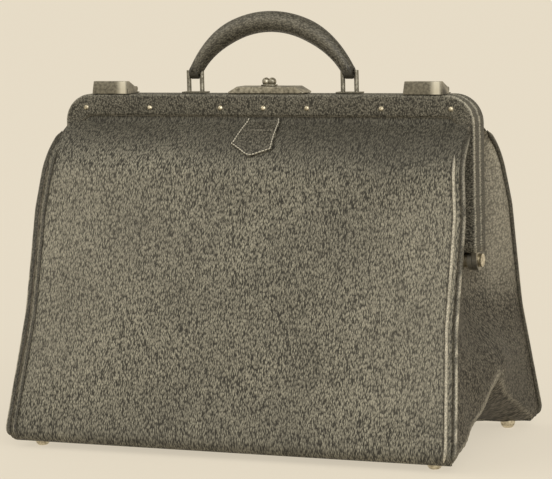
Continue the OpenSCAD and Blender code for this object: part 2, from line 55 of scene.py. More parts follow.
# The hide. One long-grain black leather hide makes the front, the bottom and the back of the bag. It is
# lined with drab cotton twill, bent round the base board, and nailed up into the jaws under the frame covers.
# Its bottom is cut back at both ends, where the gussets are tucked under.
class Wire:
    """A socket of a material's tree. Plain arithmetic on it adds Math nodes."""

    def __init__(self, tree, socket=None):
        self.tree = tree
        self.socket = socket

    def node(self, kind, settings, sockets, out=0):
        """One output of a new node, whose settings are made before its sockets are set or linked."""
        made = self.tree.nodes.new(kind)
        for name, value in settings.items():
            setattr(made, name, value)
        for name, value in sockets.items():
            if isinstance(value, Wire):
                self.tree.links.new(value.socket, made.inputs[name])
            else:
                made.inputs[name].default_value = value
        return Wire(self.tree, made.outputs[out])

    def maths(self, operation, a, b):
        return self.node("ShaderNodeMath", {"operation": operation}, {0: a, 1: b})

    def __add__(self, other):
        return self.maths("ADD", self, other)

    def __sub__(self, other):
        return self.maths("SUBTRACT", self, other)

    def __rsub__(self, other):
        return self.maths("SUBTRACT", other, self)

    def __mul__(self, other):
        return self.maths("MULTIPLY", self, other)

    __radd__ = __add__
    __rmul__ = __mul__

    def spread(self, low, high):
        """0 at the low value and 1 at the high one, held at both ends."""
        return self.node("ShaderNodeMapRange", {}, {"Value": self, "From Min": low, "From Max": high})

    def between(self, under, over):
        """A colour that goes from the under colour, which may be a wire, at 0 to the over colour at 1."""
        base = under if isinstance(under, Wire) else (*under, 1)
        return self.node("ShaderNodeMix", {"data_type": "RGBA"}, {0: self, 6: base, 7: (*over, 1)}, 2)

    def cloud(self, place, scale, detail, out=0):
        return self.node("ShaderNodeTexNoise", {}, {"Vector": place, "Scale": scale, "Detail": detail}, out)

    def place(self):
        """The point's own place on the object, in metres."""
        return self.node("ShaderNodeTexCoord", {}, {}, "Object")

    def wear_and_light(self):
        """How worn the point is and how it is painted with light and shade, from the piece's attribute."""
        return self.node("ShaderNodeAttribute", {"attribute_name": "wear_and_light"}, {}, "Fac")

    def feed(self, socket):
        self.tree.links.new(self.socket, socket)

    def emboss(self, shader, strength, depth):
        """Uses the value as the height of a shader's bumps."""
        bump = self.node("ShaderNodeBump", {}, {"Strength": strength, "Distance": depth, "Height": self})
        bump.feed(shader.inputs["Normal"])


def new_finish(name):
    """A new material, its shader, and a wire in its tree."""
    finish = bpy.data.materials.new(name)
    finish.use_nodes = True
    return finish, finish.node_tree.nodes["Principled BSDF"], Wire(finish.node_tree)


def long_grain(name, dark, pale, worn_and_lit_colour, grain_w=0.00088, grain_l=0.0030, depth=0.0004, rough=0.5):
    """Leather pressed with a long grain: wavy ridges that run one way, painted pale on their crests as a
    painted sheen. Where the piece's attribute for wear and light is above 0 it is painted paler, as wear and
    as painted highlight, and below 0 it is painted dark as shade."""
    finish, shader, wire = new_finish(name)
    laid = wire.node("ShaderNodeUVMap", {"uv_map": "grain"}, {})
    sway = wire.cloud(laid, 0.4 / grain_w, 1.0, "Color")
    swing = {0: sway, 1: (grain_w, grain_l * 0.5, 0), 2: laid}
    wavy = wire.node("ShaderNodeVectorMath", {"operation": "MULTIPLY_ADD"}, swing)
    along = wire.node("ShaderNodeMapping", {}, {"Vector": wavy, "Scale": (1 / grain_w, 1 / grain_l, 1)})
    ridge = wire.node("ShaderNodeTexVoronoi", {}, {"Vector": along, "Scale": 1.0})
    tint = wire.node("ShaderNodeTexVoronoi", {}, {"Vector": along, "Scale": 1.0}, "Color")
    crest = ridge.spread(0.74, 0.04) * (tint * 0.7 + 0.72)
    patch = wire.cloud(laid, 11.0, 3.0).spread(0.25, 0.75)
    pore = wire.cloud(laid, 1000.0, 1.0)
    wear_and_light = wire.wear_and_light()
    # Below 0 the attribute paints shade: the flecks are darkened.
    painted_shade = wear_and_light.spread(0, -1)
    fleck = (crest * (patch * 0.45 + 0.70) + (pore - 0.5) * 0.45) * (1 - painted_shade * 0.75)
    # Above 0 it paints the leather paler, as wear and as painted highlight.
    worn_and_lit = wear_and_light.spread(0, 1) * (fleck * 0.7 + 0.45)
    worn_and_lit.between(fleck.between(dark, pale), worn_and_lit_colour).feed(shader.inputs["Base Color"])
    (rough + 0.18 - crest * 0.18).feed(shader.inputs["Roughness"])
    (crest + pore * 0.2).emboss(shader, 0.7, depth)
    shader.inputs["Specular IOR Level"].default_value = 0.35
    return finish


def twill(name, dark, pale):
    """Cotton with fine slanting ribs, faded in patches."""
    finish, shader, wire = new_finish(name)
    laid = wire.node("ShaderNodeUVMap", {"uv_map": "grain"}, {})
    slant = wire.node("ShaderNodeMapping", {}, {"Vector": laid, "Rotation": (0, 0, 0.9)})
    ribbed = {"Vector": slant, "Scale": 190.0, "Distortion": 0.6}
    rib = wire.node("ShaderNodeTexWave", {"wave_type": "BANDS"}, ribbed, "Fac")
    fade = wire.cloud(laid, 22.0, 3.0)
    (rib * 0.5 + fade * 0.5).between(dark, pale).feed(shader.inputs["Base Color"])
    shader.inputs["Roughness"].default_value = 0.9
    rib.emboss(shader, 0.5, 0.0004)
    return finish


body_leather = long_grain("body_leather", (0.029, 0.026, 0.019), (0.455, 0.418, 0.307), (0.46, 0.42, 0.32))
lining = twill("lining", (0.16, 0.13, 0.09), (0.30, 0.26, 0.19))


def bend(a, pull, b, steps):
    """Points of a curve from a to b that is drawn towards the pull. The first point, a, is left out."""
    a, pull, b = Vector(a), Vector(pull), Vector(b)
    return [a.lerp(pull, i / steps).lerp(pull.lerp(b, i / steps), i / steps) for i in range(1, steps + 1)]


# The front panel's section, as (y, z) from the nailed strip in the jaw down to the floor
FLOOR_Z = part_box("body_hide")[0][2]
JAW_FACE = -0.0104
STRIP_TOP, STRIP_NAILS, STRIP_END, STRIP_PULL = 0.311, 0.304, 0.2975, 0.2930
SHOULDER = ((-0.016, 0.290), (-0.0508, 0.2714), (-0.057, 0.246))
FLANK_PULL, FLANK_END = (-0.083, 0.140), (-0.120, 0.020)
FLOOR_PULL, FLOOR_HALF = -0.1237, 0.1087

skin = [Vector((JAW_FACE, z)) for z in (STRIP_TOP, STRIP_NAILS, STRIP_END)]
skin += bend(skin[-1], (JAW_FACE, STRIP_PULL), SHOULDER[0], 6)
skin += bend(*SHOULDER, 22)
skin += bend(SHOULDER[2], FLANK_PULL, FLANK_END, 46)
skin += bend(FLANK_END, (FLOOR_PULL, FLOOR_Z), (-FLOOR_HALF, FLOOR_Z), 10)


def outwards(line):
    """The outward direction at each point of a line that runs down the front."""
    ways = []
    for i in range(len(line)):
        run = line[min(i + 1, len(line) - 1)] - line[max(i - 1, 0)]
        ways.append(Vector((run.y, -run.x)).normalized())
    return ways


skin_out = outwards(skin)

# Half the hide's length: it flares to the floor, is rounded at the bottom corners and drawn in to the jaw
BODY_HALF = 0.207
FLARE, FLARE_TOP, FLARE_H = 0.009, 0.120, 0.112
CORNER, CORNER_TOP, CORNER_H = 0.005, 0.022, 0.014
DRAWN, DRAWN_Z, DRAWN_H = 0.008, 0.215, 0.075
JAW_HALF, JAW_Z, JAW_R = 0.177, 0.292, 0.0235


def half_len(z):
    flare = FLARE * max(0, (FLARE_TOP - z) / FLARE_H)
    corner = CORNER * max(0, (CORNER_TOP - z) / CORNER_H) ** 2
    drawn = DRAWN * max(0, (z - DRAWN_Z) / DRAWN_H)
    if z < JAW_Z:
        return BODY_HALF + flare - corner - drawn
    return min(BODY_HALF - drawn, JAW_HALF + math.sqrt(max(0, JAW_R**2 - (z - JAW_Z) ** 2)))


def piece(name, points, faces, finishes, laid=None, wear_and_light=None):
    """A mesh object, with the grain's place, and the wear and painted light, at each of its points."""
    mesh = bpy.data.meshes.new(name)
    mesh.from_pydata(points, [], faces)
    if wear_and_light:
        mesh.attributes.new("wear_and_light", "FLOAT", "POINT").data.foreach_set("value", wear_and_light)
    if laid:
        grain = mesh.uv_layers.new(name="grain")
        for loop in mesh.loops:
            grain.data[loop.index].uv = laid[loop.vertex_index]
    for finish in finishes:
        mesh.materials.append(finish)
    mesh.shade_smooth()
    made = bpy.data.objects.new(name, mesh)
    scene.collection.objects.link(made)
    return made


def settle(made):
    """Turns an object's modifiers into a plain mesh."""
    old = made.data
    graph = bpy.context.evaluated_depsgraph_get()
    mesh = bpy.data.meshes.new_from_object(made.evaluated_get(graph))
    made.modifiers.clear()
    made.data = mesh
    bpy.data.meshes.remove(old)


HIDE = 0.0024


def sheet_piece(name, rows, flip, finishes, thick=HIDE):
    """A leather sheet from rows of (point, grain place, wear and painted light), thickened inwards."""
    wide = len(rows[0])
    faces = []
    for r in range(len(rows) - 1):
        for c in range(wide - 1):
            quad = [r * wide + c, (r + 1) * wide + c, (r + 1) * wide + c + 1, r * wide + c + 1]
            faces.append(quad[::-1] if flip else quad)
    points, laid, wear_and_light = zip(*(cell for row in rows for cell in row))
    made = piece(name, points, faces, finishes, laid, wear_and_light)
    wall = made.modifiers.new("wall", "SOLIDIFY")
    wall.thickness, wall.offset, wall.material_offset = thick, -1, len(finishes) - 1
    settle(made)
    return made


def ramp(low, high, value):
    """0 before low and 1 past high, with a smooth rise between. Low may be the larger of the two."""
    t = min(1, max(0, (value - low) / (high - low)))
    return t * t * (3 - 2 * t)


def bell(value, centre, width):
    """1 at the centre, and falling off smoothly to both sides."""
    return math.exp(-(((value - centre) / width) ** 2))


FULL_TOP, FULL_H = 0.262, 0.250


def fullness(z):
    """How much the panel is filled out at a height: 0 at the shoulder and at the floor, 1 halfway."""
    return max(0, math.sin(math.pi * min(1, max(0, (FULL_TOP - z) / FULL_H)))) ** 0.8


def panel_painted_light(u, z, side):
    """Painted light and shade of a panel at a share u of its half length: painted paler at its sides and in
    patches on the left, painted shade at its foot, more on the left, under the shoulder and in a hollow at
    the right.
    """
    ragged = 0.8 + 0.6 * noise.noise(Vector((u * 14, 0, side)))
    sides = 0.20 * ramp(0.35, 0.95, abs(u)) * ramp(0.275, 0.22, z)
    left_bend = 0.22 * max(0, -u) * bell(z, 0.262, 0.016)
    left_belly = 0.12 * bell(u, -0.45, 0.35) * bell(z, 0.19, 0.055)
    foot = 0.55 * ragged * ramp(0.024, 0.012, z) + 0.15 * ramp(0.065, 0.025, z)
    left_foot = 0.22 * bell(u, -0.85, 0.35) * ramp(0.085, 0.025, z)
    shoulder = 0.75 * ramp(0.244, 0.284, z)
    right_hollow = 0.34 * bell(u, 0.64, 0.28) * bell(z, 0.256, 0.024)
    return sides + left_bend + left_belly - foot - left_foot - shoulder - right_hollow


PUFF, DRAPE = 0.0034, 0.0016
SEAM_W, SEAM_DIP = 0.006, 0.0014
SAG, SAG_H = 0.0026, 0.016
PANEL_STEPS = 54


def panel_rows(side):
    """Rows of the front (side -1) or rear (side 1) panel, from the jaw down to the floor."""
    rows, run = [], 0.0
    for i, (y, z) in enumerate(skin):
        run += (skin[i] - skin[i - 1]).length if i else 0
        out, half, full = skin_out[i], half_len(z), fullness(z)
        sag = SAG * max(0, 1 - max(0, z - FLOOR_Z) / SAG_H)
        row = []
        for c in range(-PANEL_STEPS, PANEL_STEPS + 1):
            u = c / PANEL_STEPS
            drape = noise.noise(Vector((u * 2.2 + side, run * 9, 1.7)))
            drape += 0.5 * noise.noise(Vector((u * 5, run * 16, side)))
            near_seam = max(0, (abs(u) * half - half + SEAM_W) / SEAM_W)
            puff = full * (1 - abs(u) ** 4) * (PUFF + DRAPE * drape)
            puff -= SEAM_DIP * near_seam**2 * min(1, full * 4)
            point = (u * half, -side * (y + out.x * puff), z + out.y * puff - sag)
            row.append((point, (u * half, run), panel_painted_light(u, z, side)))
        rows.append(row)
    return rows


JAWS = ((-1, "front"), (1, "rear"))
PIVOT_Z, FREE_Z = 0.170, 0.225

for side, jaw in JAWS:
    panel = sheet_piece(f"{jaw}_panel", panel_rows(side), side > 0, [body_leather, lining])
    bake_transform(panel)
    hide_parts(f"{jaw}_shoulder")

# The tuck at each end of the bottom, where the two folds of the gusset curve in to meet
TUCK_HALF, TUCK_DEPTH, TUCK_FLAT, TUCK_H = 0.117, 0.060, 0.040, 0.064
FOLD_CURVE = 1.6
FOLD_SOFT, CREASE_SOFT, CREASE_OUT = 0.006, 0.003, 0.0008
LIFT, LIFT_HALF = 0.009, 0.088
FLOOR_STEPS, RIM_STEPS = 40, 24


def soft_most(a, b, soft):
    """The larger of two values, with the change from one to the other rounded."""
    return (a + b + math.sqrt((a - b) ** 2 + soft**2)) / 2


def tuck_left(z):
    """1 at the floor and 0 at the top of the tuck."""
    return max(0, 1 - (z - FLOOR_Z) / TUCK_H)


def fold_at(z):
    """Half the width between the two folds at a height."""
    return TUCK_HALF * tuck_left(z) ** FOLD_CURVE


def tuck(y, z):
    """How far the end is folded in: flat along the middle, and sloping out to both folds."""
    flank = (fold_at(z) - abs(y)) * TUCK_DEPTH / (TUCK_HALF - TUCK_FLAT)
    inner = -soft_most(-TUCK_DEPTH * tuck_left(z), -flank, FOLD_SOFT)
    return soft_most(0, inner, CREASE_SOFT) - CREASE_OUT


def floor_z(y):
    """Height of the bottom's rim: it sags at the front and the back, and lifts in the tuck."""
    sag = SAG * min(1, abs(y) / FLOOR_HALF) ** 6
    return FLOOR_Z - sag + LIFT * max(0, 1 - (abs(y) / LIFT_HALF) ** 3)


floor_rows = []
for r in range(FLOOR_STEPS + 1):
    y = FLOOR_HALF * (2 * r / FLOOR_STEPS - 1)
    half = half_len(FLOOR_Z) - tuck(y, FLOOR_Z)
    row = []
    for c in range(-RIM_STEPS, RIM_STEPS + 1):
        x = half * c / RIM_STEPS
        rim = (c / RIM_STEPS) ** 18
        row.append(((x, y, FLOOR_Z * (1 - rim) + floor_z(y) * rim), (x, y), 0.0))
    floor_rows.append(row)
bottom = sheet_piece("bottom_panel", floor_rows, False, [body_leather, lining])
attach(bottom, "bag")
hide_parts("body_hide")


# The gussets. Each end is one soft piece of the same leather, thinned so that it folds: it sinks in behind
# the arms of the jaws and is tucked under along two creases at the floor. A loose pleat behind it lets the
# jaws open. Both are made in halves, one for each jaw.
GUSSET = 0.0018
GUSSET_TOP = 0.289
GUSSET_GAP = 0.0006
TOP_GAP, TOP_GAP_FROM, TOP_GAP_FULL = 0.0014, 0.274, 0.284
BEHIND_ARMS, ARM_ROOM, SUNK_FROM, SUNK_FULL = 0.1853, 0.017, 0.070, 0.148
SWELL, SWELL_Z, SWELL_H, SWELL_W = 0.010, 0.080, 0.030, 0.055
LOOSE, TAUT_FROM, TAUT_FULL = 0.0020, 0.15, 0.18
LIFT_H = 0.03
GUSSET_DOWN, GUSSET_ACROSS = 100, 44

# The gussets take a darker copy of the hide's leather: painted shade for their sunk ends.
shaded_gusset_leather = long_grain(
    "shaded_gusset_leather", (0.018, 0.015, 0.010), (0.228, 0.201, 0.146), (0.46, 0.42, 0.32), 0.0014, 0.0022)


def wall_at(z):
    """The panel's y at a height."""
    for above, below in zip(skin, skin[1:]):
        if below.y <= z <= above.y and above.y > below.y:
            return above.x + (below.x - above.x) * (above.y - z) / (above.y - below.y)
    return skin[-1].x


def gusset_painted_light(y, z, side, wall):
    """Painted light of a gusset: painted highlights along the folds, paler high up, most on the rear half, a
    painted highlight at the top of the seam, and a little darker low down.
    """
    crease = fold_at(z) - y
    if side > 0:
        fold = 0.6 * bell(crease, 0, 0.0042)
        high = (0.26 + 0.46 * ramp(0.024, 0.050, y)) * ramp(0.10, 0.18, z)
    else:
        fold = bell(crease, -0.008, 0.0075)
        high = 0.20 * ramp(0.15, 0.20, z)
    seam = 0.5 * bell(wall - y, 0.007, 0.003) * bell(z, 0.264, 0.012)
    return fold * ramp(0.080, 0.066, z) + high + seam - 0.15 * ramp(0.15, 0.10, z)


def gusset_rows(end, side):
    """Rows of one half of a gusset, from the jaw down to the floor, each from the seam to the middle."""
    rows = []
    for r in range(GUSSET_DOWN + 1):
        z = GUSSET_TOP + (FLOOR_Z - GUSSET_TOP) * r / GUSSET_DOWN
        wall = -wall_at(z) - GUSSET_GAP - TOP_GAP * ramp(TOP_GAP_FROM, TOP_GAP_FULL, z)
        deep = (half_len(z) - BEHIND_ARMS) * ramp(SUNK_FROM, SUNK_FULL, z)
        sunk_by = min(0.9, max(0.35, 1 - ARM_ROOM / wall))
        row = []
        for c in range(GUSSET_ACROSS + 1):
            t = c / GUSSET_ACROSS
            y = wall * (1 - t)
            swell = SWELL * bell(z, SWELL_Z, SWELL_H) * bell(y, 0, SWELL_W)
            loose = LOOSE * noise.noise(Vector((y * 38 * side, z * 22, end * 3.1)))
            loose *= ramp(0, 0.25, t) * (1 - 0.8 * ramp(TAUT_FROM, TAUT_FULL, z))
            x = half_len(z) + GUSSET_GAP - deep * ramp(0, sunk_by, t) - tuck(y, z) + swell + loose
            lifted = z + (floor_z(y) - FLOOR_Z) * max(0, 1 - (z - FLOOR_Z) / LIFT_H)
            row.append(((end * x, side * y, lifted), (side * y, z), gusset_painted_light(y, z, side, wall)))
        rows.append(row)
    return rows


PLEAT_X, PLEAT_TOP, PLEAT_SEAM = 0.1815, 0.286, 0.006
PLEAT_OPEN, PLEAT_SHADE = 0.034, -0.12
PLEAT_DOWN, PLEAT_ACROSS, PLEAT_GRAIN = 30, 20, 20 / 9


def pleat_rows(end, side):
    """Rows of one half of the loose pleat, from the jaw down to the pivots."""
    rows = []
    for r in range(PLEAT_DOWN + 1):
        z = PLEAT_TOP + (PIVOT_Z - PLEAT_TOP) * r / PLEAT_DOWN
        reach = side * (-wall_at(z) - PLEAT_SEAM)
        row = []
        for c in range(PLEAT_ACROSS, -1, -1):
            y = reach * c / PLEAT_ACROSS
            row.append(((end * PLEAT_X, y, z), (y * PLEAT_GRAIN, z), PLEAT_SHADE))
        rows.append(row)
    return rows


ENDS = ((-1, "left"), (1, "right"))
soft_finishes = [shaded_gusset_leather, lining]

for end, hand in ENDS:
    for side, jaw in JAWS:
        flip = end * side > 0
        half = sheet_piece(f"{jaw}_{hand}_gusset", gusset_rows(end, side), flip, soft_finishes, GUSSET)
        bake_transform(half)
        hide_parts(f"{jaw}_{hand}_wing")
        pleat = sheet_piece(f"{jaw}_{hand}_pleat", pleat_rows(end, side), flip, soft_finishes, GUSSET)
        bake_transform(pleat)
        if jaw == "front":
            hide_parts(f"{hand}_gusset")


# The welts. A strip of trim leather is folded over cord and caught in each end seam between the panel and
# the gusset. It shows as a turned bead on the panel's margin, and a thicker cord along the seam itself.
BEAD_R, BEAD_IN, BEAD_UP, BEAD_TOP = 0.0018, 0.0058, 0.0008, 0.268
CORD_R, CORD_OUT, CORD_DOWN, CORD_TOP = 0.0022, 0.0022, 0.0012, 0.2865
CORD_SIDES, CORD_THIN, CORD_THIN_POINTS = 12, 0.010, 4
WELT_START, BEAD_STOP, CORD_STOP = 10, -4, -3
# The beads and cords are painted pale where they face out to the front: a painted highlight, also standing
# for rubbed leather. The right ends take it from a lower share than the left ones.
FACING_X, FACING_Y = 0.82, 0.57
BEAD_SHEEN_FROM = {"left": 0.7, "right": 0.25}
BEAD_BROKEN, CORD_SHEEN_FROM, CORD_BROKEN, CORD_FADE = 0.25, 0.6, 0.85, 0.5

bead_leather = long_grain(
    "bead_leather", (0.030, 0.027, 0.019), (0.16, 0.145, 0.105), (0.78, 0.71, 0.54),
    0.0010, 0.0016, 0.0003, 0.36)


def swept(rings):
    """Points and faces of a tube through closed rings of points, capped at both ends."""
    n = len(rings[0])
    faces = []
    for r in range(len(rings) - 1):
        for i in range(n):
            j = (i + 1) % n
            faces.append([r * n + i, r * n + j, (r + 1) * n + j, (r + 1) * n + i])
    faces.append(list(range(n - 1, -1, -1)))
    faces.append([(len(rings) - 1) * n + i for i in range(n)])
    return [tuple(p) for ring in rings for p in ring], faces


def point_outwards(made):
    work = bmesh.new()
    work.from_mesh(made.data)
    bmesh.ops.recalc_face_normals(work, faces=work.faces)
    work.to_mesh(made.data)
    work.free()
    return made


def round_cord(path, radius, facing, least, broken, high):
    """Points, faces, grain places, and wear and painted light, of a cord that thins at its ends. It is
    painted pale where it faces out by at least a given share, a painted highlight that also stands for rubbed
    leather. The pale is broken along the cord, and fades high up."""
    rings, laid, wear_and_light, run = [], [], [], 0.0
    turns = [math.tau * k / CORD_SIDES for k in range(CORD_SIDES)]
    last = len(path) - 1
    for i, p in enumerate(path):
        ahead = (path[min(i + 1, last)] - path[max(i - 1, 0)]).normalized()
        side = Vector((1, 0, 0)).cross(ahead).normalized()
        up = ahead.cross(side)
        run += (p - path[i - 1]).length if i else 0
        ways = [side * math.cos(turn) + up * math.sin(turn) for turn in turns]
        thin = (0.2 + 0.8 * ramp(0, CORD_THIN, run)) * (0.3 + 0.7 * ramp(0, CORD_THIN_POINTS, last - i))
        rings.append([p + way * radius * thin for way in ways])
        laid += [(radius * turn, run) for turn in turns]
        kept = 1 - broken * ramp(-0.1, 0.35, noise.noise(Vector((run * 90, facing.x, facing.y))))
        kept *= 1 - high * ramp(0.13, 0.19, p.z)
        wear_and_light += [kept * ramp(least, least + 0.4, way.dot(facing)) for way in ways]
    return (*swept(rings), laid, wear_and_light)


def joined(name, parts, finishes):
    """One piece from several (points, faces, grain places, wear and painted light)."""
    points, faces, laid, wear_and_light = [], [], [], []
    for some, quads, places, worn_and_lit in parts:
        faces += [[len(points) + i for i in quad] for quad in quads]
        points += some
        laid += places
        wear_and_light += worn_and_lit
    return point_outwards(piece(name, points, faces, finishes, laid, wear_and_light))


def seam_line(end, side, top, outside, raised):
    """A line down a seam, a little outside the hide's end and raised from its face."""
    line = []
    for (y, z), out in list(zip(skin, skin_out))[WELT_START:]:
        if z < top:
            x = end * (half_len(z) + outside)
            line.append(Vector((x, -side * (y + out.x * raised), z + out.y * raised)))
    return line


for end, hand in ENDS:
    for side, jaw in JAWS:
        bead = seam_line(end, side, BEAD_TOP, -BEAD_IN, BEAD_UP)[:BEAD_STOP]
        cord = seam_line(end, side, CORD_TOP, CORD_OUT, -CORD_DOWN)[:CORD_STOP]
        facing = Vector((end * FACING_X, side * FACING_Y, 0))
        turned = round_cord(bead, BEAD_R, facing, BEAD_SHEEN_FROM[hand], BEAD_BROKEN, 0.0)
        corded = round_cord(cord, CORD_R, facing, CORD_SHEEN_FROM, CORD_BROKEN, CORD_FADE)
        welt = joined(f"{jaw}_{hand}_seam_welt", [turned, corded], [bead_leather])
        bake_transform(welt)
        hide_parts(f"{jaw}_{hand}_welt", f"{jaw}_{hand}_shoulder_welt")


# The base board. A plain sheet of pasted board lies on the bottom inside the bag and keeps the floor flat.
# It is covered with nothing, and shows only when the jaws stand open.
def dressed(node, finish):
    """Gives a solid of the frame a material of its own."""
    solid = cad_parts[node]
    solid.data.materials.clear()
    solid.data.materials.append(finish)


def paste_board(name, dark, pale):
    finish, shader, wire = new_finish(name)
    place = wire.place()
    fibre = wire.cloud(place, 260.0, 4.0)
    stain = wire.cloud(place, 9.0, 2.0)
    (fibre * 0.6 + stain * 0.4).between(dark, pale).feed(shader.inputs["Base Color"])
    shader.inputs["Roughness"].default_value = 0.85
    fibre.emboss(shader, 0.3, 0.0003)
    return finish


dressed("base_board", paste_board("paste_board", (0.20, 0.15, 0.09), (0.40, 0.32, 0.21)))


# The foot studs. Four domed studs stand under the corners of the bottom. Like the bag's other small metal
# they are stamped brass, plated and rubbed: pale, a little yellow, with fine scratches and a dull film.
def rubbed_metal(name, film, bright, rough, gleam=None):
    """Plated sheet with a dull film. A gleam is a painted highlight: a bright streak where the piece's
    wear-and-light attribute is about 0.85.
    """
    finish, shader, wire = new_finish(name)
    place = wire.place()
    bare = wire.cloud(place, 420.0, 3.0)
    drawn = wire.node("ShaderNodeMapping", {}, {"Vector": place, "Scale": (220, 1500, 1500)})
    scratch = wire.cloud(drawn, 1.0, 2.0)
    colour = bare.spread(0.30, 0.66).between(film, bright)
    if gleam:
        wear_and_light = wire.wear_and_light()
        streak = wear_and_light.spread(0.66, 0.80) * wear_and_light.spread(0.96, 0.90)
        colour = streak.between(colour, gleam)
    colour.feed(shader.inputs["Base Color"])
    dull = rough + 0.20 - bare.spread(0.3, 0.65) * 0.20
    (dull + (scratch - 0.5) * 0.12).feed(shader.inputs["Roughness"])
    scratch.emboss(shader, 0.25, 0.0001)
    shader.inputs["Metallic"].default_value = 1.0
    return finish


pale_brass = rubbed_metal("pale_brass", (0.30, 0.26, 0.18), (0.80, 0.73, 0.57), 0.26)
dressed("foot_studs", pale_brass)


# The jaws. Each jaw is a steel channel bent to a U, with a rivet through its eye at each end. Thin leather
# is pulled over it wet and turned in, so its edges are round; they are painted pale, as rubbed leather and as
# painted highlight. A row of small rivets holds the hide's top edge.
BAR_IN, BAR_OUT = 0.0013, 0.0137
ARM_PAST_EYE = 0.008
ARM_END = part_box("front_frame_cover")[0][2] - ARM_PAST_EYE
OUTER_HALF, OUTER_TOP, OUTER_R = 0.203, 0.318, 0.026
INNER_HALF, INNER_TOP, INNER_R = 0.187, 0.298, 0.012
ARM_STEPS, TURN_STEPS, SPAN_STEPS = 16, 14, 40
ROUND, ROUND_STEPS = 0.0026, 4
ROUND_SHEEN_AND_WEAR = (0, 0.35, 1, 0.35, 0)
EDGE_SHEEN_AND_WEAR = {0: 0.2, 90: 0.4, 180: 0.8, 270: 0.2}

frame_leather = long_grain(
    "frame_leather", (0.026, 0.023, 0.016), (0.25, 0.228, 0.168), (0.60, 0.55, 0.42),
    0.0012, 0.0018, 0.0003, 0.42)


def u_line(half, top, r):
    """Points (x, z) of the upside-down U, from the left arm's end to the right one's."""
    left = [Vector((-half, ARM_END + (top - r - ARM_END) * i / ARM_STEPS)) for i in range(ARM_STEPS)]
    for i in range(TURN_STEPS + 1):
        turn = math.pi / 2 * i / TURN_STEPS
        left.append(Vector((r - half - r * math.cos(turn), top - r + r * math.sin(turn))))
    right = [Vector((-p.x, p.y)) for p in reversed(left)]
    span = [left[-1].lerp(right[0], i / SPAN_STEPS) for i in range(1, SPAN_STEPS)]
    return left + span + right


outer_line = u_line(OUTER_HALF, OUTER_TOP, OUTER_R)
inner_line = u_line(INNER_HALF, INNER_TOP, INNER_R)


def cover_rings(near, far, out_edge):
    """Rounded sections of the cover along the U, with the wear and painted highlight and the grain's place at
    each point. An edge is named by the angle at which its rounding starts, and the outer one is painted
    palest."""
    rings, wear_and_light, laid, run = [], [], [], 0.0
    for i, (out, inn) in enumerate(zip(outer_line, inner_line)):
        deep = (inn - out).length - ROUND
        across = (inn - out).normalized()
        run += (out - outer_line[i - 1]).length if i else 0
        # The arms are painted paler down their edges, the right one most: a painted highlight.
        arm = (0.75 if out.x > 0 else 0.4) * ramp(0.168, 0.196, abs(out.x))
        worn_and_lit = 0.25 + arm * (0.60 + 0.40 * ramp(0.215, 0.255, out.y))
        front, back = near + ROUND, far - ROUND
        ring, round_it = [], 0.0
        for a, y, start in ((ROUND, front, 180), (deep, front, 270), (deep, back, 0), (ROUND, back, 90)):
            edge = 1.0 if start == out_edge else EDGE_SHEEN_AND_WEAR[start]
            for k in range(ROUND_STEPS + 1):
                turn = math.radians(start + 90 * k / ROUND_STEPS)
                flat = out + across * (a + ROUND * math.cos(turn))
                ring.append(Vector((flat.x, y + ROUND * math.sin(turn), flat.y)))
                round_it += (ring[-1] - ring[-2]).length if len(ring) > 1 else 0
                wear_and_light.append(edge * worn_and_lit * ROUND_SHEEN_AND_WEAR[k])
                laid.append((run, round_it))
        rings.append(ring)
    return rings, wear_and_light, laid


def dark_steel(name, dark, pale):
    finish, shader, wire = new_finish(name)
    scale = wire.cloud(wire.place(), 90.0, 5.0)
    scale.spread(0.35, 0.65).between(dark, pale).feed(shader.inputs["Base Color"])
    (0.62 - scale * 0.25).feed(shader.inputs["Roughness"])
    shader.inputs["Metallic"].default_value = 0.9
    return finish


steel = dark_steel("dark_steel", (0.14, 0.13, 0.11), (0.42, 0.39, 0.32))

for side, jaw in JAWS:
    near, far = (-BAR_OUT, -BAR_IN) if side < 0 else (BAR_IN, BAR_OUT)
    rings, wear_and_light, laid = cover_rings(near, far, 180 if side < 0 else 90)
    cover = point_outwards(piece(f"{jaw}_cover", *swept(rings), [frame_leather], laid, wear_and_light))
    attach(cover, f"{jaw}_jaw")
    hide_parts(f"{jaw}_frame_cover")
    dressed(f"{jaw}_frame_rivets", pale_brass)
    dressed(f"{jaw}_frame", steel)
for _, hand in ENDS:
    dressed(f"{hand}_pivot_rivet", pale_brass)


# The lock. A stamped case with bevelled ends is riveted on the rear jaw's bar, its top faces painted dark as
# shade, and a two-lobed thumb piece slides on it. The tongue stands on the front jaw. A leather tab, sewn
# round its edge with waxed thread, covers the nails on the shoulder below.
CASE_ROUND, SLIDE_ROUND = 0.0009, 0.0002
MERGE = 0.00002

worn_nickel = rubbed_metal("worn_nickel", (0.155, 0.143, 0.113), (0.42, 0.395, 0.325), 0.30)


def round_edges(made, width, segments, sharp):
    edge = made.modifiers.new("edge", "BEVEL")
    edge.width, edge.segments, edge.limit_method, edge.angle_limit = width, segments, "ANGLE", sharp


def softened(node, body, finish, width):
    """A copy of a solid with its doubles merged and its edges rounded, as stamping leaves them."""
    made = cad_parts[node].copy()
    made.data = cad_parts[node].data.copy()
    made.name = f"{node}_stamped"
    made.parent = None
    scene.collection.objects.link(made)
    work = bmesh.new()
    work.from_mesh(made.data)
    bmesh.ops.remove_doubles(work, verts=work.verts, dist=MERGE)
    bmesh.ops.dissolve_limit(work, angle_limit=0.03, verts=work.verts, edges=work.edges)
    work.to_mesh(made.data)
    work.free()
    made.data.materials.clear()
    made.data.materials.append(finish)
    round_edges(made, width, 3, 0.7)
    made.modifiers.new("weld", "WELD").merge_threshold = MERGE
    settle(made)
    made.data.shade_smooth()
    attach(made, body)
    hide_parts(node)
    return made


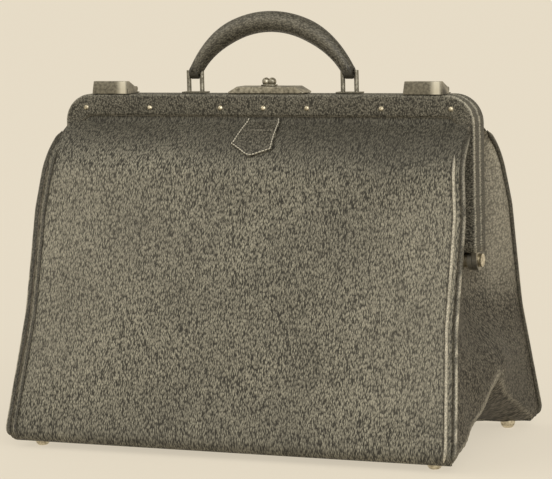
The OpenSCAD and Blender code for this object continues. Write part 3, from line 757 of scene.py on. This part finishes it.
case = softened("lock_case", "rear_jaw", worn_nickel, CASE_ROUND)
case.data.materials.append(steel)
# The case's top faces take the dark steel: painted shade.
for face in case.data.polygons:
    face.material_index = 1 if face.normal.z > 0.8 else 0
softened("lock_slide", "thumb_slide", worn_nickel, SLIDE_ROUND)
dressed("lock_tongue", pale_brass)

# The tab follows the shoulder from the frame down, at places t from 0 to 1 along this line
tab_line = bend((JAW_FACE, STRIP_END), (JAW_FACE, STRIP_PULL), SHOULDER[0], 12)[3:] + bend(*SHOULDER, 60)
tab_out = outwards(tab_line)
TAB_T, TAB_LIFT, TAB_RISE, TAB_ROUND = 0.0016, 0.0003, 0.0030, 0.0005
TAB_START, TAB_END, TAB_SLANT = 0.01, 0.676, 2.2
TAB_TOP_HALF, TAB_WIDE_HALF, TAB_TIP_HALF, TAB_TURN = 0.0165, 0.021, 0.0006, 0.745
TAB_DOWN, TAB_ACROSS, TAB_GRAIN = 36, 14, 0.06


def tab_half(t):
    """Half the tab's width at a share of its own length: it widens to the turn and then runs to a point."""
    if t < TAB_TURN:
        return TAB_TOP_HALF + (TAB_WIDE_HALF - TAB_TOP_HALF) * t / TAB_TURN
    return TAB_WIDE_HALF * (1 - (t - TAB_TURN) / (1 - TAB_TURN)) + TAB_TIP_HALF


def tab_place(t):
    return TAB_START + (TAB_END - TAB_START) * t


def on_shoulder(x, t, lift):
    """A point above the shoulder. The tab hangs a little askew, so t grows to the right lower down."""
    t += TAB_SLANT * x * ramp(0.25, 0.60, t)
    last = len(tab_line) - 1
    i = min(last - 1, int(t * last))
    p = tab_line[i].lerp(tab_line[i + 1], t * last - i)
    out = tab_out[i].lerp(tab_out[i + 1], t * last - i)
    up = lift + TAB_RISE * fullness(p.y)
    return Vector((x, p.x + out.x * up, p.y + out.y * up))


tab_rows = []
for r in range(TAB_DOWN + 1):
    place = tab_place(r / TAB_DOWN)
    row = []
    for c in range(-TAB_ACROSS, TAB_ACROSS + 1):
        x = tab_half(r / TAB_DOWN) * c / TAB_ACROSS
        row.append((on_shoulder(x, place, TAB_T + TAB_LIFT), (x, place * TAB_GRAIN), 0.0))
    tab_rows.append(row)
tab = sheet_piece("lock_tab_leather", tab_rows, False, [frame_leather], TAB_T)
round_edges(tab, TAB_ROUND, 2, 0.9)
settle(tab)
tab.data.shade_smooth()
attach(tab, "front_jaw")
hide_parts("lock_tab")


def stitch_tree():
    """Thread stitches laid end to end along a line of edges."""
    tree = bpy.data.node_groups.new("stitches", "GeometryNodeTree")
    tree.interface.new_socket("Line", in_out="INPUT", socket_type="NodeSocketGeometry")
    for name in ("Pitch", "Stitch", "Thread"):
        tree.interface.new_socket(name, in_out="INPUT", socket_type="NodeSocketFloat")
    tree.interface.new_socket("Finish", in_out="INPUT", socket_type="NodeSocketMaterial")
    tree.interface.new_socket("Stitches", in_out="OUTPUT", socket_type="NodeSocketGeometry")
    start = tree.nodes.new("NodeGroupInput").outputs
    end = tree.nodes.new("NodeGroupOutput").inputs

    def add(kind, sockets, **settings):
        made = tree.nodes.new(kind)
        for name, value in settings.items():
            setattr(made, name, value)
        for name, value in sockets.items():
            if hasattr(value, "is_output"):
                tree.links.new(value, made.inputs[name])
            else:
                made.inputs[name].default_value = value
        return made.outputs[0]

    line = add("GeometryNodeMeshToCurve", {"Mesh": start["Line"]})
    spaced = add("GeometryNodeResampleCurve", {"Curve": line, "Length": start["Pitch"]}, mode="LENGTH")
    turn = add("FunctionNodeAlignEulerToVector", {"Vector": add("GeometryNodeInputTangent", {})}, axis="Z")
    thick = add("ShaderNodeMath", {0: start["Thread"], 1: 0.5}, operation="MULTIPLY")
    long = add("ShaderNodeMath", {0: start["Stitch"], 1: 0.5}, operation="MULTIPLY")
    size = add("ShaderNodeCombineXYZ", {"X": thick, "Y": thick, "Z": long})
    ball = add("GeometryNodeMeshUVSphere", {"Segments": 6, "Rings": 6, "Radius": 1.0})
    laid = {"Points": spaced, "Instance": ball, "Rotation": turn, "Scale": size}
    real = add("GeometryNodeRealizeInstances", {"Geometry": add("GeometryNodeInstanceOnPoints", laid)})
    done = add("GeometryNodeSetMaterial", {"Geometry": real, "Material": start["Finish"]})
    tree.links.new(done, end["Stitches"])
    return tree


stitching = stitch_tree()
PITCH, STITCH, THREAD = 0.0031, 0.0027, 0.0011
STITCH_IN, STITCH_UP, CROSS_UP, CROSS_PLACE = 0.0016, 0.0006, 0.0005, 0.24
STITCH_STEPS, STITCH_END, TURN_GAP = 24, 0.955, 0.005


def sewn(name, body, line, thread):
    """Stitches along a line of points, riding on a body."""
    mesh = bpy.data.meshes.new(name)
    mesh.from_pydata([tuple(p) for p in line], [(i, i + 1) for i in range(len(line) - 1)], [])
    made = bpy.data.objects.new(name, mesh)
    scene.collection.objects.link(made)
    run = made.modifiers.new("stitches", "NODES")
    run.node_group = stitching
    sockets = {s.name: s.identifier for s in stitching.interface.items_tree if s.in_out == "INPUT"}
    for key, value in (("Pitch", PITCH), ("Stitch", STITCH), ("Thread", THREAD), ("Finish", thread)):
        run[sockets[key]] = value
    settle(made)
    made.data.shade_smooth()
    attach(made, body)


def waxed_thread(name, dark, pale):
    finish, shader, wire = new_finish(name)
    ply = wire.cloud(wire.place(), 1400.0, 2.0)
    ply.spread(0.3, 0.7).between(dark, pale).feed(shader.inputs["Base Color"])
    shader.inputs["Roughness"].default_value = 0.7
    ply.emboss(shader, 0.4, 0.0002)
    return finish


def tab_edge(sign):
    """A line inside one edge of the tab, from the frame past the turn and down to the tip."""
    line = []
    for first, last in ((0.0, TAB_TURN - TURN_GAP), (TAB_TURN, STITCH_END)):
        for r in range(STITCH_STEPS + 1):
            t = first + (last - first) * r / STITCH_STEPS
            x = sign * max(0, tab_half(t) - STITCH_IN)
            line.append(on_shoulder(x, tab_place(t), TAB_T + STITCH_UP))
    return line


cream_thread = waxed_thread("cream_thread", (0.55, 0.50, 0.38), (0.80, 0.74, 0.59))
dark_thread = waxed_thread("dark_thread", (0.16, 0.145, 0.11), (0.34, 0.31, 0.24))
sewn("lock_tab_stitches", "front_jaw", tab_edge(-1) + tab_edge(1)[::-1], cream_thread)
cross = [on_shoulder(x / 1000, CROSS_PLACE, TAB_T + CROSS_UP) for x in range(-13, 14)]
sewn("lock_tab_cross_stitches", "front_jaw", cross, dark_thread)


# The handle. Leather is rolled round a cord core and drawn together along the inside, thickest at the
# middle, and each end is turned round the bar of a plated loop. The loops' feet are riveted on the rear jaw.
GRIP_R, GRIP_CENTRE = 0.08657, Vector((0, 0.0075, 0.29743))
EYE = Vector((0.077, 0.0075, 0.337))
GRIP_END_R, GRIP_FULL, GRIP_SEAM = 0.0062, 0.0030, 0.0009
GRIP_STEPS, GRIP_SIDES = 64, 28
EYE_ROUND, LOOP_ROUND = 0.0014, 0.0004

grip_leather = long_grain(
    "grip_leather", (0.022, 0.019, 0.013), (0.160, 0.146, 0.106), (0.55, 0.50, 0.38),
    0.0011, 0.0020, 0.0002, 0.30)
grey_plate = rubbed_metal(
    "grey_plate", (0.14, 0.131, 0.106), (0.27, 0.254, 0.208), 0.38, (0.72, 0.69, 0.59))

end_turn = math.atan2(EYE.x, EYE.z - GRIP_CENTRE.z)
path, rings, laid, wear_and_light, run = [], [], [], [], 0.0
for i in range(GRIP_STEPS + 1):
    share = 2 * i / GRIP_STEPS - 1
    out = Vector((math.sin(end_turn * share), 0, math.cos(end_turn * share)))
    path.append(GRIP_CENTRE + out * GRIP_R)
    run += (path[i] - path[i - 1]).length if i else 0
    r = GRIP_END_R + GRIP_FULL * ramp(0, 0.62, 1 - abs(share))
    ring = []
    for k in range(GRIP_SIDES):
        turn = math.tau * k / GRIP_SIDES
        seam = GRIP_SEAM * bell(math.remainder(turn - math.pi, math.tau), 0, 0.22)
        way = out * math.cos(turn) + Vector((0, 1, 0)) * math.sin(turn)
        ring.append(path[i] + way * (r + seam))
        laid.append((r * turn, run))
        # A painted highlight runs along the front of the roll, fading out at its ends.
        front = bell(math.remainder(turn + 1.25, math.tau), 0, 0.5)
        wear_and_light.append(0.26 * front * ramp(0, 0.15, 1 - abs(share)))
    rings.append(ring)
grip = point_outwards(piece("handle_roll", *swept(rings), [grip_leather], laid, wear_and_light))
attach(grip, "handle")
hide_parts("handle_grip")
for _, hand in ENDS:
    softened(f"{hand}_handle_tab", "handle", grip_leather, EYE_ROUND)
    softened(f"{hand}_handle_loop", "rear_jaw", grey_plate, LOOP_ROUND)


# The catches. At each end of the frame a stamped sheet flap, bent to a wedge, is hinged on the rear jaw and
# lies over the front bar. Its face is dull plate with one painted highlight streak, and its sides and top are
# painted dark as shade.
FLAP_ROUND, HINGE_ROUND = 0.0006, 0.0005

for _, hand in ENDS:
    flap = softened(f"{hand}_catch_flap", f"{hand}_catch", grey_plate, FLAP_ROUND)
    # The flap's sides and top take the dark steel: painted shade.
    flap.data.materials.append(steel)
    for face in flap.data.polygons:
        face.material_index = 1 if abs(face.normal.x) > 0.5 or face.normal.z > 0.6 else 0
    # A share from the flap's left end to its right places its painted highlight streak, near the right end.
    across = [v.co.x for v in flap.data.vertices]
    low, high = min(across), max(across)
    shares = [(x - low) / (high - low) for x in across]
    flap.data.attributes.new("wear_and_light", "FLOAT", "POINT").data.foreach_set("value", shares)
    softened(f"{hand}_catch_base", "rear_jaw", grey_plate, HINGE_ROUND)


# The studio. A pale cream floor runs out of sight in every direction, with a backdrop of its own tone
# behind it. A broad soft lamp stands at the front right, a weaker one high at the left, and a pale sky
# fills the shade.
PAPER = (0.870, 0.782, 0.628)
BACKDROP = (0.790, 0.716, 0.571)
SKY = (1.0, 0.985, 0.95)
REACH = 40
GLOW = 0.66

paper, shader, wire = new_finish("paper_floor")
shader.inputs["Base Color"].default_value = (*PAPER, 1)
shader.inputs["Roughness"].default_value = 0.9
shader.inputs["Specular IOR Level"].default_value = 0.0


def seen_by(wire):
    """1 for the rays that show a background: straight from the camera, off metal, or through glass."""
    rays = ("Is Camera Ray", "Is Glossy Ray", "Is Transmission Ray")
    return sum(wire.node("ShaderNodeLightPath", {}, {}, ray) for ray in rays)


glow = wire.node("ShaderNodeEmission", {}, {"Color": (*PAPER, 1), "Strength": 1.0})
lit = Wire(paper.node_tree, shader.outputs[0])
both = wire.node("ShaderNodeMixShader", {}, {0: seen_by(wire) * GLOW, 1: lit, 2: glow})
both.feed(paper.node_tree.nodes["Material Output"].inputs["Surface"])
corners = [(-REACH, -REACH, 0), (REACH, -REACH, 0), (REACH, REACH, 0), (-REACH, REACH, 0)]
ground = piece("floor", corners, [(0, 1, 2, 3)], [paper])

sky = bpy.data.worlds.new("sky")
sky.use_nodes = True
wire = Wire(sky.node_tree)
fill = wire.node("ShaderNodeBackground", {}, {"Color": (*SKY, 1), "Strength": 0.5})
backdrop = wire.node("ShaderNodeBackground", {}, {"Color": (*BACKDROP, 1), "Strength": 1.0})
both = wire.node("ShaderNodeMixShader", {}, {0: seen_by(wire), 1: fill, 2: backdrop})
both.feed(sky.node_tree.nodes["World Output"].inputs["Surface"])
scene.world = sky


def lamp(name, strength, angle, towards):
    light = bpy.data.lights.new(name, "SUN")
    light.energy, light.angle = strength, math.radians(angle)
    made = bpy.data.objects.new(name, light)
    made.rotation_euler = Vector(towards).to_track_quat("-Z", "Y").to_euler()
    scene.collection.objects.link(made)


lamp("front_right_lamp", 1.25, 50, (-0.62, 0.80, -0.42))
lamp("high_left_lamp", 0.45, 60, (0.75, 0.55, -0.8))

# The camera, as fitted to the photo: its turn, its focal length in the photo's pixels, and what it looks at
YAW, TILT, ROLL = math.radians(23.49), math.radians(6.63), math.radians(-1.36)
AIM, AWAY = Vector((0.00383, 0, 0.1837)), 2.4297
FOCAL_PX, PHOTO_PX, SENSOR = 2640.5, 552, 36

level = Vector((math.cos(YAW), math.sin(YAW), 0))
forward = Vector((-math.sin(YAW), math.cos(YAW), 0))
ahead = forward * math.cos(TILT) - Vector((0, 0, math.sin(TILT)))
above = level.cross(ahead)
across = level * math.cos(ROLL) + above * math.sin(ROLL)
upright = above * math.cos(ROLL) - level * math.sin(ROLL)
eye = bpy.data.cameras.new("photo_camera")
eye.sensor_fit, eye.sensor_width, eye.lens = "HORIZONTAL", SENSOR, SENSOR * FOCAL_PX / PHOTO_PX
camera = bpy.data.objects.new("photo_camera", eye)
turned = Matrix((across, upright, -ahead)).transposed().to_4x4()
camera.matrix_world = Matrix.Translation(AIM - ahead * AWAY) @ turned
scene.collection.objects.link(camera)
scene.camera = camera
